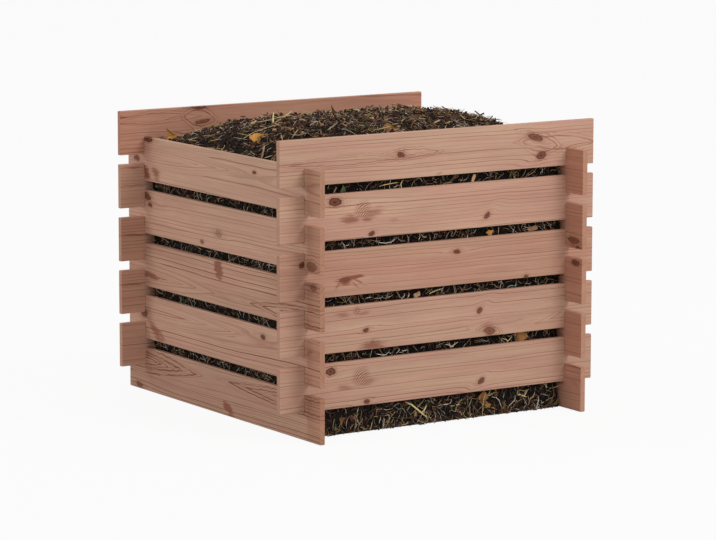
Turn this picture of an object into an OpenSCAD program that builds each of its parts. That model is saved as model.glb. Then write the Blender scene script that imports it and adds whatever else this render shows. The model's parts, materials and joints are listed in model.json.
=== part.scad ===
// Timber composter: notched boards stacked crosswise at the corners, round a heap of compost.
// Millimetres. X runs along the front boards, Y from the front to the back, and Z up.
// The origin is on the ground at the middle of the bin.

/* [Boards] */
// Length of the front and back boards
front_length = 1000; // [700:10:1500]
// Length of the left and right boards
side_length = 1000; // [700:10:1500]
// Height of a board as it stands on its edge
board_height = 122; // [100:1:160]
// Thickness of a board
board_thickness = 15; // [12:1:28]
// Radius of a board's four planed arrises
arris_radius = 2; // [0.5:0.5:4]

/* [Stacking] */
// Ventilation slot between two boards of one wall
slot_height = 26; // [8:1:45]
// Length of a board's end, from the outer face of the board that it crosses
end_overhang = 75; // [40:1:120]
// Play on each side of a board in the notch that holds it
notch_play = 0.5; // [0.2:0.1:1.5]

/* [Compost] */
// Gap between the compost and the inner faces of the boards
fill_gap = 0.3; // [0.2:0.1:5]
// Depth of the heap's edge below the top edges of the side walls
fill_depth = 16; // [0:1:200]
// Rise of the crown above the heap's edge
crown_rise = 104; // [10:1:200]
// Place of the crown to the right of the bin's middle
crown_right = -65; // [-200:5:200]
// Place of the crown behind the bin's middle
crown_back = -145; // [-200:5:200]
// Fullness of the heap's left and right shoulders, from 2, round, to 8, square
shoulder_sides = 6.9; // [2:0.1:8]
// Fullness of the heap's front and back shoulders
shoulder_ends = 2.3; // [2:0.1:8]
// Height of the heap's broad lumps
lump_rise = 4; // [0:0.5:12]
// Distance between the lumps
lump_pitch = 170; // [120:10:400]
// Height of the clods on the heap, from hollow to top
clod_rise = 10; // [0:0.5:20]
// Distance between the clods
clod_pitch = 85; // [60:5:200]

/* [Hidden] */
$fn = 48;
walls = ["left", "right", "front", "back"];
boards_per_wall = 5;

// Boards of one wall repeat at this pitch, and the crossing walls stand half a pitch higher.
course_pitch = board_height + slot_height;
course_step = course_pitch / 2;
// Two crossing boards overlap in height, and each gives up half of the overlap to its notch.
notch_depth = (board_height - course_step) / 2;
notch_width = board_thickness + 2 * notch_play;

// Outer width of the walls, and half of the space inside them
outer_x = front_length - 2 * end_overhang;
outer_y = side_length - 2 * end_overhang;
half_x = outer_x / 2 - board_thickness;
half_y = outer_y / 2 - board_thickness;

side_top = (boards_per_wall - 1) * course_pitch + board_height;
fill_edge = side_top - fill_depth;
fill_x = half_x - fill_gap;
fill_y = half_y - fill_gap;
// Squares of the heap's surface along each side, four or so to a clod
fill_steps = 40;
// Sideways wander of the rows of clods
clod_drift = 20;

// Length by which a cut passes the faces that it opens
cut_past = 5;

timber = [0.76, 0.58, 0.47];
timber_shade = [0.68, 0.51, 0.42];
compost_brown = [0.16, 0.12, 0.09];

// Cross-section of a board: across it from the outer face, and up from the lower edge
module board_section() {
    inset = arris_radius;
    translate([0, inset]) square([board_thickness, board_height - 2 * inset]);
    translate([inset, 0]) square([board_thickness - 2 * inset, board_height]);
    for (x = [inset, board_thickness - inset], z = [inset, board_height - inset])
        translate([x, z]) circle(r = inset);
}

// Notch right across a board's edge, centred along it at y and reaching up from z
module notch(y, z) {
    translate([-cut_past, y - notch_width / 2, z])
        cube([board_thickness + 2 * cut_past, notch_width, notch_depth + cut_past]);
}

// Board along Y, its outer face at x = 0 and its lower edge at z = 0.
// Notches near its ends hold the boards that cross it above and below.
module notched_board(length, notched_above, notched_below) {
    crossing = length / 2 - end_overhang - board_thickness / 2;
    difference() {
        rotate([90, 0, 0]) linear_extrude(length, center = true) board_section();
        for (y = [-crossing, crossing]) {
            if (notched_above) notch(y, board_height - notch_depth);
            if (notched_below) notch(y, -cut_past);
        }
    }
}

// The walls' lowest side boards lie on the ground with a plain lower edge.
module side_board(k) {
    translate([-outer_x / 2, 0, (k - 1) * course_pitch])
        notched_board(side_length, true, k > 1);
}

// The front and back walls end the stack, with a plain upper edge.
module end_board(k) {
    translate([0, -outer_y / 2, (k - 1) * course_pitch + course_step])
        rotate([0, 0, 90])
            notched_board(front_length, k < boards_per_wall, true);
}

module left_board(k) {
    color(timber_shade) side_board(k);
}

module right_board(k) {
    color(timber_shade) mirror([1, 0, 0]) side_board(k);
}

module front_board(k) {
    color(timber) end_board(k);
}

module back_board(k) {
    color(timber) mirror([0, 1, 0]) end_board(k);
}

// Share of the way from the crown's place to the heap's edge, along one axis
function edge_share(at, crown, half) =
    at < crown ? (crown - at) / (crown + half) : (at - crown) / (half - crown);

function fullness(share, shoulder) = 1 - pow(share, shoulder);

// Broad low lumps, as the compost was tipped in
function lump(x, y) =
    lump_rise * sin(360 * (x + y / 3) / lump_pitch) * cos(360 * (y - x / 4) / lump_pitch);

// Clods in two crossing sets of rows that wander, as a fork turns them up
function clod(x, y) =
    let (
        u = x + clod_drift * sin(360 * y / (2.7 * clod_pitch)),
        v = y + clod_drift * sin(360 * x / (3.1 * clod_pitch))
    )
    clod_rise / 4 * (sin(360 * (u + v / 3) / clod_pitch) + sin(360 * (v - u / 3) / clod_pitch));

function crown_share(x, y) =
    fullness(edge_share(x, crown_right, fill_x), shoulder_sides)
    * fullness(edge_share(y, crown_back, fill_y), shoulder_ends);

// Lumps and clods fade out towards the heap's edge, which stays level.
function heap_height(x, y) =
    fill_edge + (crown_rise + lump(x, y) + clod(x, y)) * crown_share(x, y);

// Heap of compost: flat on the ground, upright against the boards and crowned on top
module compost_fill() {
    steps = fill_steps;
    row = steps + 1;
    ring = 4 * steps;
    surface = [
        for (j = [0:steps], i = [0:steps])
            let (x = fill_x * (2 * i / steps - 1), y = fill_y * (2 * j / steps - 1))
            [x, y, heap_height(x, y)]
    ];
    // The surface's rim, counted round from its left front corner
    rim = [
        for (i = [0:steps - 1]) i,
        for (j = [0:steps - 1]) steps + j * row,
        for (i = [0:steps - 1]) row * row - 1 - i,
        for (j = [0:steps - 1]) (steps - j) * row
    ];
    foot = [for (p = rim) [surface[p].x, surface[p].y, 0]];
    foot_start = row * row;
    middle = foot_start + ring;
    top_faces = [
        for (j = [0:steps - 1], i = [0:steps - 1], upper = [false, true])
            let (p = j * row + i)
            upper ? [p, p + row + 1, p + 1] : [p, p + row, p + row + 1]
    ];
    wall_faces = [
        for (k = [0:ring - 1], upper = [false, true])
            let (next = (k + 1) % ring)
            upper
                ? [rim[k], rim[next], foot_start + next]
                : [rim[k], foot_start + next, foot_start + k]
    ];
    ground_faces = [for (k = [0:ring - 1]) [middle, foot_start + k, foot_start + (k + 1) % ring]];
    color(compost_brown)
        polyhedron(
            points = concat(surface, foot, [[0, 0, 0]]),
            faces = concat(top_faces, wall_faces, ground_faces)
        );
}

for (k = [1:boards_per_wall]) {
    left_board(k);
    right_board(k);
    front_board(k);
    back_board(k);
}
compost_fill();
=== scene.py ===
"""Timber composter: twenty notched boards stacked crosswise round a heap of compost."""

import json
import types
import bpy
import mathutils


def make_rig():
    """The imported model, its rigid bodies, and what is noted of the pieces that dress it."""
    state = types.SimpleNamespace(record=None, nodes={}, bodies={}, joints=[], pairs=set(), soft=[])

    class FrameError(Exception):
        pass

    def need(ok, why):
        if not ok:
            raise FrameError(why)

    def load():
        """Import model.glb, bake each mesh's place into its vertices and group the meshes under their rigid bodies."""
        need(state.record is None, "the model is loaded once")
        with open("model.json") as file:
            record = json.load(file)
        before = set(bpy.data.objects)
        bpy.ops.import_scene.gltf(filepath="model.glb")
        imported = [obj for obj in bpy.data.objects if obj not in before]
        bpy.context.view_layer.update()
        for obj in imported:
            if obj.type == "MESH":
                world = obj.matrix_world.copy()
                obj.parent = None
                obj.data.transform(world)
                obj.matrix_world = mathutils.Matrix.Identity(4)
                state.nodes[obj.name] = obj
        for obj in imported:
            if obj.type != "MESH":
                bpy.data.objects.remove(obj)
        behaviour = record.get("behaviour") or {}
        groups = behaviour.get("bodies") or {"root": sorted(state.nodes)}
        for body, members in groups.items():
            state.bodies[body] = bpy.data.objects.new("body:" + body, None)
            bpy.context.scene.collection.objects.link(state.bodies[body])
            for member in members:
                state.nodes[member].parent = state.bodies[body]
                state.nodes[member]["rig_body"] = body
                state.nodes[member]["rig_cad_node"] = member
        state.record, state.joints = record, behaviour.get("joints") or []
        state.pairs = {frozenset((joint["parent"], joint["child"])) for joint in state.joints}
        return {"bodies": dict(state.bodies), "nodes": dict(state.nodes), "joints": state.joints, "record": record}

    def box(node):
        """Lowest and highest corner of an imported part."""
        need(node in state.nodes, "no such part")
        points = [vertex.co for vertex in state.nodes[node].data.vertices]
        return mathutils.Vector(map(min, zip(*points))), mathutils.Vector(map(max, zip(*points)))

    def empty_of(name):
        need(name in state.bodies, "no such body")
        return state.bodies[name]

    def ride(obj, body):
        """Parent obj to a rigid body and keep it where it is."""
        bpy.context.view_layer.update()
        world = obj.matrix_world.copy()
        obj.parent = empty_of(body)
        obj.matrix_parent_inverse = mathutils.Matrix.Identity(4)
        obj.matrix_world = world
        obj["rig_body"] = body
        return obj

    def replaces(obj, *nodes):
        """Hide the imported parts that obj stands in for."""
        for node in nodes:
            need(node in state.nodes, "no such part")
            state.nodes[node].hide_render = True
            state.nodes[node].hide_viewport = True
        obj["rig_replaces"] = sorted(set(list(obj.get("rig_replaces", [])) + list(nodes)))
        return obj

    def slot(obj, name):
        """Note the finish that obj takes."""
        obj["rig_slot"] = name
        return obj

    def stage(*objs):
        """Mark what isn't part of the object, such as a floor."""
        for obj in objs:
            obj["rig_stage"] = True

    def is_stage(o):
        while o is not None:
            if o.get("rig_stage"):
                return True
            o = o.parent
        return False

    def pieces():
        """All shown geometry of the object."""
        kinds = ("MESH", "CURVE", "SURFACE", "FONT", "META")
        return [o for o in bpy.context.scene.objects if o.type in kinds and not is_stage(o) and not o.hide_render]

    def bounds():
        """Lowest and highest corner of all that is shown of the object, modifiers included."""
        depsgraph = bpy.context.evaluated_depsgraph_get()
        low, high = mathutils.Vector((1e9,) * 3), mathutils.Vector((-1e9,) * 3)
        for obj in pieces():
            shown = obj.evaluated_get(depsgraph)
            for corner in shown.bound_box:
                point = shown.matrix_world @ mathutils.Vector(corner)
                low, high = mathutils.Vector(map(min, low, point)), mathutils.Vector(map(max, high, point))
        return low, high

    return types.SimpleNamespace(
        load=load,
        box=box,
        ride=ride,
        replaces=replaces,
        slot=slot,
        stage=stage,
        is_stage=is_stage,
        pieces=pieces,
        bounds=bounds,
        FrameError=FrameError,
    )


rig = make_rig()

bl_info = {
    "name": "Timber Composter",
    "version": (1, 0, 0),
    "blender": (4, 5, 0),
    "location": "View3D > Sidebar > Composter",
    "description": "Dresses a composter's frame in planed Douglas fir and fills it with compost",
    "category": "Object",
}

import json
import math
from typing import NamedTuple

import bpy
import numpy as np
from mathutils import Matrix, Vector
from mathutils.bvhtree import BVHTree

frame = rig.load()
FRAME_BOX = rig.bounds()

MM = 0.001
SIZE_FILE = "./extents.json"
WALLS = ("left", "right", "front", "back")
BOARDS_PER_WALL = 5
BODY_OF_NODE = {
    node: body
    for body, nodes in frame["record"]["behaviour"]["bodies"].items()
    for node in nodes
}


def board_layout():
    """The board's section and the places of its notches, as the frame's boxes give them, in metres."""
    low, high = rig.box("front_board_2")
    side_low, side_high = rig.box("left_board_2")
    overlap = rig.box("front_board_1")[1].z - side_low.z
    return {
        "length": high.x - low.x,
        "thickness": high.y - low.y,
        "height": high.z - low.z,
        "crossing": -(side_low.x + side_high.x) / 2,
        "notch_depth": overlap / 2,
    }


LAYOUT = board_layout()


def linear(hex_colour):
    """An sRGB colour such as #C9A27E as the linear red, green and blue that Blender works with."""
    channels = [int(hex_colour[i:i + 2], 16) / 255 for i in (1, 3, 5)]
    return tuple(c / 12.92 if c <= 0.04045 else ((c + 0.055) / 1.055) ** 2.4 for c in channels)


def colour_property(name, description, hex_colour):
    """A colour that the user can change in the sidebar."""
    return bpy.props.FloatVectorProperty(
        name=name,
        description=description,
        default=linear(hex_colour),
        size=3,
        min=0,
        max=1,
        subtype="COLOR",
    )


def length_property(name, description, default, low, high):
    """A length in metres that the user can change in the sidebar."""
    return bpy.props.FloatProperty(
        name=name,
        description=description,
        default=default,
        min=low,
        max=high,
        precision=4,
        unit="LENGTH",
    )


class BoardSettings(bpy.types.PropertyGroup):
    """Finish of the planed boards"""

    arris: length_property("Arris", "Radius of the four planed long edges", 0.002, 0.0005, 0.004)
    easing: length_property("Easing", "Wear on the sawn edges of ends and notches", 0.0005, 0.0001, 0.001)
    notch_play: length_property("Notch play", "Play on each side of a crossing board", 0.0005, 0, 0.002)
    ring_width: length_property("Ring width", "Distance between two dark growth lines", 0.0085, 0.002, 0.02)
    early_wood: colour_property("Early wood", "Pale wood between the growth lines", "#C7A189")
    pink_wood: colour_property("Heartwood", "Pinker bands of heartwood", "#C39683")
    late_wood: colour_property("Late wood", "Dark growth lines", "#8C5744")
    knot_heart: colour_property("Knot", "Branch wood of a knot", "#7C4B39")
    knot_rim: colour_property("Knot rim", "Bark ring and heart of a knot", "#472821")
    patch: colour_property("Patch", "Reddish wood over a buried knot", "#8E5845")
    sawn_end: colour_property("Sawn end", "Dry end grain", "#AE846B")
    # Painted shade over the left boards' ends in front of the front wall
    painted_shade: colour_property("Darkened", "Filter over the ends that have darkened", "#F5EBE5")
    # Painted highlight along the arrises, mixed with paler wear
    highlight_and_wear: colour_property("Worn edge", "Arrises paled by planing and handling", "#D0AE96")


class CompostSettings(bpy.types.PropertyGroup):
    """Size, amount and colours of the compost"""

    skin: length_property("Skin", "Cell of the heap's remeshed skin", 0.0075, 0.005, 0.02)
    hollows: length_property("Hollows", "Depth of the hollows between clods", 0.011, 0, 0.03)
    clods: length_property("Clods", "Depth of the cracks between crumbs", 0.006, 0, 0.02)
    headroom: length_property("Headroom", "Height that litter may stand above the heap", 0.016, 0, 0.02)
    soil_dark: colour_property("Damp soil", "Soil in the cracks", "#0D0A07")
    soil_light: colour_property("Dry soil", "Soil on the crumbs", "#42291C")
    shred_dark: colour_property("Dark shred", "Rotted wood and leaf shreds", "#1C110D")
    shred_brown: colour_property("Brown shred", "Half rotted shreds", "#6B4631")
    shred_pale: colour_property("Pale shred", "Fresh wood shreds", "#C7A27F")
    straw_dull: colour_property("Dull straw", "Straw that has begun to rot", "#A98A45")
    straw_pale: colour_property("Pale straw", "Fresh straw", "#EAD494")
    root_pale: colour_property("Pale root", "Fine roots and bleached grass", "#DDD4C6")
    bark: colour_property("Twig bark", "Bark of the twigs", "#261C15")
    leaf_orange: colour_property("Orange leaf", "Fallen leaves", "#D69A45")
    leaf_brown: colour_property("Brown leaf", "Dry leaves", "#7E5530")
    leaf_green: colour_property("Green leaf", "Fresh leaves", "#51633A")


class StageSettings(bpy.types.PropertyGroup):
    """Light, floor and camera"""

    pale: colour_property("Pale", "Colour of floor and background", "#FCFCFC")
    sky_light: bpy.props.FloatProperty(
        name="Sky light", description="Strength of the light from all round", default=0.67, min=0, max=2
    )
    key_power: bpy.props.FloatProperty(
        name="Key light", description="Power of the lamp in front", default=252, min=0, unit="POWER"
    )
    side_power: bpy.props.FloatProperty(
        name="Side light", description="Power of the lamp at the left", default=80, min=0, unit="POWER"
    )
    lens: bpy.props.FloatProperty(
        name="Lens", description="Focal length on a 36 mm sensor", default=175.99, min=20,
        subtype="DISTANCE_CAMERA",
    )


def add_node(tree, kind, inputs=(), **settings):
    """Adds a node with its settings. Inputs come by name or by place, each as a value, a socket, or a node
    whose first output is meant."""
    node = tree.nodes.new(kind)
    for name, value in settings.items():
        setattr(node, name, value)
    for key, source in inputs.items() if isinstance(inputs, dict) else enumerate(inputs):
        if isinstance(source, bpy.types.Node):
            source = source.outputs[0]
        if isinstance(source, bpy.types.NodeSocket):
            tree.links.new(source, node.inputs[key])
        else:
            node.inputs[key].default_value = source
    return node


# A smooth change between two values of a Map Range node
SMOOTH = {"interpolation_type": "SMOOTHSTEP"}
# Places of a Mix node's sockets when it mixes colours: the share of the second, both colours, the result
SHARE, FIRST, SECOND, MIXED = 0, 6, 7, 2


def rgba(colour):
    """A colour with full alpha, as a node's colour socket takes it."""
    return (*colour, 1)


def new_material(name):
    """An empty material with its node tree."""
    material = bpy.data.materials.new(name)
    material.use_nodes = True
    material.node_tree.nodes.clear()
    return material


def new_group(name, inputs, outputs, vectors=(), colours=()):
    """A node group with these sockets, its input node and its tree."""
    tree = bpy.data.node_groups.new(name, "ShaderNodeTree")
    for side, sockets in (("INPUT", inputs), ("OUTPUT", outputs)):
        for socket in sockets:
            kind = "NodeSocketVector" if socket in vectors else "NodeSocketFloat"
            kind = "NodeSocketColor" if socket in colours else kind
            tree.interface.new_socket(socket, in_out=side, socket_type=kind)
    return tree, add_node(tree, "NodeGroupInput").outputs


# Wood

class Knot(NamedTuple):
    """A knot, in millimetres from the middle of the board: how dark it is, its turn in degrees, how far it
    swells the growth rings, and how plain the arcs round it are."""

    along: float
    up: float
    half_length: float
    half_height: float
    depth: float = 1
    turn: float = 0
    rings: float = 6
    arcs: float = 0.5

    def own(self):
        return {"Depth": self.depth, "Rings": self.rings, "Arc strength": self.arcs}


class Patch(NamedTuple):
    """A reddish patch, where the saw only grazed a buried knot. It is full up to this share of its size."""

    along: float
    up: float
    half_length: float
    half_height: float
    turn: float = 0
    strength: float = 0.4
    full: float = 0.1

    def own(self):
        return {"Strength": self.strength, "Full": self.full}


class Curl(NamedTuple):
    """A feather of fine arcs across the grain, over a buried branch."""

    along: float
    up: float
    half_length: float = 24
    half_height: float = 23
    turn: float = 40

    def own(self):
        return {}


class Lens(NamedTuple):
    """A long pointed figure where the rings swell out of the face, or sink in where the steepness is
    negative. One that lies half beyond the board's end shows as nested points."""

    along: float
    up: float
    half_length: float
    half_height: float
    turn: float = 0
    steepness: float = -1

    def own(self):
        return {"Height": self.steepness * self.half_height}


class Figure(NamedTuple):
    """How a board was cut from its log: where the pith lies, in millimetres from the board's middle, and
    how far it runs off per metre, how light the board is and how much it is reddened, its marks and how bold
    its lines are. On the right and back boards, whose faces show only in shade, the reddening is painted shade, the
    warm dark of wood lit by the wood round it."""

    pith_up: float
    pith_deep: float
    taper: float
    tone: float
    red: float
    marks: tuple = ()
    bold: float = 1


FIGURES = {
    "front_board_5": Figure(-96, 44, 4, 1.0, 0, (
        Knot(-276, -3, 93, 6.6, 0, 0.6, 0, 1),
        Knot(385, 4, 58, 12.4, 0, -3, 0, 0.8),
        Knot(-127, 2, 12, 8, 0.95, 0, 8, 0.9),
        Knot(-93, 4, 40, 7.5, 0, 0, 0, 1),
        Knot(307, 21, 26, 9.5, 0.8, -20, 8, 0.4),
        Knot(326, -28, 15, 10, 0.9, 20, 6),
        Knot(322, 3, 28, 14, 0, -8, 0, 0.8),
        Patch(-6, -56, 15, 4, 0, 0.6),
    )),
    "front_board_4": Figure(104, 40, -6, 1.04, 0, (
        Knot(-331, 40, 19, 11, 1, 0, 6, 0.6),
        Curl(-246, 13, 30, 25, 40),
        Patch(-286, -8, 30, 12, -5, 0.8, 0.3),
        Patch(-214, 2, 38, 17, 20, 0.6, 0.2),
        Patch(-232, -12, 22, 6, 0, 0.8, 0.4),
        Patch(-147, -21, 16, 6, 0, 0.3),
        Knot(-217, -51, 9.5, 6, 1, 15, 3),
        Knot(150, -30, 11, 7, 0.9, 35, 4),
    )),
    "front_board_3": Figure(-90, 46, 6, 0.93, 0.35, (
        Knot(52, 28, 11, 6, 1, 0, 8, 0.8),
        Patch(-282, -14, 42, 4.5, 3, 1, 0.8),
        Patch(-300, -21, 24, 10, 0, 0.95, 0.5),
        Knot(-302, -19, 16, 5.5, 0.6, 4, 0, 0.3),
        Patch(-258, -26, 24, 3.5, -30, 0.7, 0.3),
        Patch(-268, -33, 18, 3, -42, 0.6, 0.3),
        Patch(-322, -31, 14, 4, 42, 0.6, 0.3),
        Knot(279, -58, 7, 5, 0.9, 0, 3),
        Knot(-432, 31, 8, 7, 1, 0, 5),
    )),
    "front_board_2": Figure(92, 42, 6, 0.98, 0, (
        Lens(250, -25, 176, 22, 3, 1.9),
        Knot(127, 11, 9, 7, 0.9, 40, 4),
        Patch(161, -47, 26, 15, -12, 0.8, 0.5),
        Knot(161, -47, 17, 10, 0.62, -12, 2, 0.8),
        Patch(150, -30, 22, 6, 0, 0.5),
        Knot(-236, -9, 10, 5, 0.95, 12, 3),
        Curl(-263, 45, 14, 12),
        Patch(-307, 38, 26, 9, 0, 0.55),
        Patch(-240, 37, 26, 8, 0, 0.5),
        Patch(-212, -51, 42, 14, 0, 0.85, 0.3),
        Knot(-213, -42, 8, 5, 0.3, 0, 2, 0.8),
    )),
    "front_board_1": Figure(-106, 48, -6, 0.97, 0, (
        Knot(-344, 39, 15, 10, 0.95, 0, 6, 0.6),
        Curl(-251, 17, 32, 27, 40),
        Patch(-302, -6, 26, 9, -5, 0.6),
        Patch(-227, 0, 32, 13, 10, 0.55),
        Knot(134, -32, 11, 7, 0.9, 30, 5),
        Knot(-232, -51, 9.5, 6, 0.95, 15, 3),
    )),
    "left_board_5": Figure(14, -62, -10, 1.02, 0, (
        Lens(430, 10, 560, 46, -0.6, -0.95),
        Knot(-177, 23, 9, 5, 1, 0, 2, 0.15),
        Knot(391, 56, 26, 8, 1, 0, 3),
        Patch(402, -38, 27, 18, 35, 0.95, 0.4),
        Patch(345, -35, 27, 18, 35, 0.8, 0.3),
        Knot(452, -3, 15, 7.5, 0.85, 0, 4),
    ), 1.1),
    "left_board_4": Figure(-78, -44, -14, 1.02, 0.1, (
        Knot(396, 44, 22, 9, 0.9, 12, 0),
        Knot(379, 21, 10, 5, 0.9, 0, 0, 0.2),
        Knot(10, -14, 16, 9, 0.4, 10, 1, 0.6),
        Knot(95, -47, 10, 5, 0.7, 0, 1, 0.3),
        Knot(-461, -43, 24, 13, 0.6, 0, 5, 0.6),
    )),
    "left_board_3": Figure(-30, -58, 6, 0.95, 0.15, (
        Lens(430, -28, 420, 44, 0.4),
        Lens(-470, -30, 300, 34),
        Knot(-470, -32, 120, 12, 0, 0, 0, 0.9),
        Patch(9, 39, 25, 22, 54, 0.9, 0.8),
        Patch(376, -29, 42, 10, 5, 0.9, 0.6),
        Knot(-470, 52, 16, 9, 0.6, 0, 3),
    ), 1.8),
    "left_board_2": Figure(22, -60, 12, 1.03, 0.05, (
        Lens(380, 22, 520, 42, -0.4),
        Knot(-219, 34, 11, 6, 1),
        Knot(415, 9, 18, 9, 0.9, 0, 8, 0.8),
        Patch(350, -35, 50, 18, 30, 0.8, 0.3),
        Patch(320, -42, 26, 9, 30, 0.7, 0.3),
        Patch(-448, 25, 20, 7, -20, 0.5),
    ), 1.4),
    "left_board_1": Figure(30, -61.5, -8, 0.9, 0.15, (
        Lens(480, 28, 390, 46),
        Lens(-490, 35, 470, 36),
        Knot(500, 24, 82, 10, 0, 0, 0, 1),
        Knot(500, 26, 140, 17, 0, 0, 0, 0.8),
        Knot(-490, 32, 170, 12, 0, 0, 0, 0.9),
        Patch(-37, -39, 34, 13, 28, 0.9, 0.7),
        Knot(446, -50, 17, 7, 0.8, 0, 4),
    ), 2),
    "back_board_5": Figure(34, 70, 6, 0.92, 0.8, (
        Lens(-380, 34, 150, 16, 0, -1),
        Knot(-400, 37, 48, 8.5, 0, 3, 0, 0.7),
        Knot(-251, 59, 26, 6, 1, 0, 3),
        Knot(-247, 28, 24, 15, 0, -10, 0, 1),
        Knot(-238, 18, 24, 6, 0.8, 8, 0, 0.3),
        Knot(240, -18, 12, 8, 0.9, 20),
    )),
    "back_board_4": Figure(-96, 52, 4, 1.02, 0.15, (
        Patch(-465, 51, 60, 3, -1, 0.8),
        Patch(-465, 1, 60, 3, 1, 0.8),
        Knot(-80, -20, 12, 8, 1, 15),
        Knot(300, 30, 9, 6, 0.9, 30),
    )),
    "back_board_3": Figure(-120, 50, 4, 1.05, 0.4, (
        Patch(-465, 10, 70, 4, -1, 1),
        Knot(-120, 22, 13, 8, 1, 15),
        Knot(262, -34, 9, 6, 0.9, 30),
    )),
    "back_board_2": Figure(-100, 46, -4, 1.05, 0.3, (
        Patch(-465, 20, 70, 4, 1, 1),
        Knot(96, 30, 12, 7, 0.9, -10),
        Knot(-318, -20, 10, 7, 1, 25),
    )),
    "back_board_1": Figure(-90, 44, 6, 1.15, 0.1, (
        Knot(210, 14, 12, 8, 1, 10),
        Knot(-160, -38, 9, 6, 0.9, 20),
    )),
    "right_board_4": Figure(-90, -50, 10, 0.97, 0.8, (
        Knot(-462, -39, 25, 9.5, 0.75, 0, 4),
        Knot(-480, -57, 9, 4, 0.9, 0, 2),
        Knot(130, 24, 12, 7, 1, -15),
    )),
    "right_board_3": Figure(-96, -46, 8, 0.96, 0.8, (
        Knot(-472, 49, 17, 8, 0.9, 0, 3),
        Knot(-60, -30, 10, 6, 0.9, 20),
    )),
}
FIGURE_SEED = 7


def figure_of(node, rng):
    """The listed figure of a board, or a drawn one for a board that faces away."""
    def draw(*ranges):
        return [rng.uniform(low, high) for low, high in ranges]

    knots = [
        Knot(*draw((-430, 430), (-50, 50), (8, 18), (5, 10), (0.7, 1), (-30, 40), (4, 14)))
        for _ in range(rng.integers(2, 5))
    ]
    patch = Patch(*draw((-350, 350), (-50, 50), (20, 34), (6, 12), (-30, 30), (0.4, 0.7)))
    curl = Curl(*draw((-350, 350), (-35, 35)))
    lens = Lens(*draw((-450, 450), (-30, 30), (180, 420), (12, 34)))
    pith_up = rng.uniform(70, 110) * rng.choice((-1, 1))
    cut = draw((36, 56), (-12, 12), (0.98, 1.04), (0.5, 0.9))
    return FIGURES.get(node, Figure(pith_up, *cut, (lens, *knots, patch, curl)))


def way_from_middle(tree, given):
    """The way from a mark's middle: as it lies, turned with the mark, and then in the mark's half sizes."""
    away = add_node(tree, "ShaderNodeVectorMath", (given["Place"], given["Middle"]), operation="SUBTRACT")
    turned = add_node(tree, "ShaderNodeVectorRotate", {"Vector": away, "Angle": given["Turn"]},
                      rotation_type="Z_AXIS", invert=True)
    scaled = add_node(tree, "ShaderNodeVectorMath", (turned, given["Half sizes"]), operation="DIVIDE")
    return away, turned, scaled


def lens_distance(tree, scaled, along, up):
    """A measure that is 1 on a lens with pointed tips, this many half sizes long and high."""
    split = add_node(tree, "ShaderNodeSeparateXYZ", (scaled,))
    shared = add_node(tree, "ShaderNodeMath", (split.outputs[0], along), operation="DIVIDE")
    squared = add_node(tree, "ShaderNodeMath", (shared, shared), operation="MULTIPLY")
    height = add_node(tree, "ShaderNodeMath", (split.outputs[1],), operation="ABSOLUTE")
    return add_node(tree, "ShaderNodeMath", (height, 1 / up, squared), operation="MULTIPLY_ADD")


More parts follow.
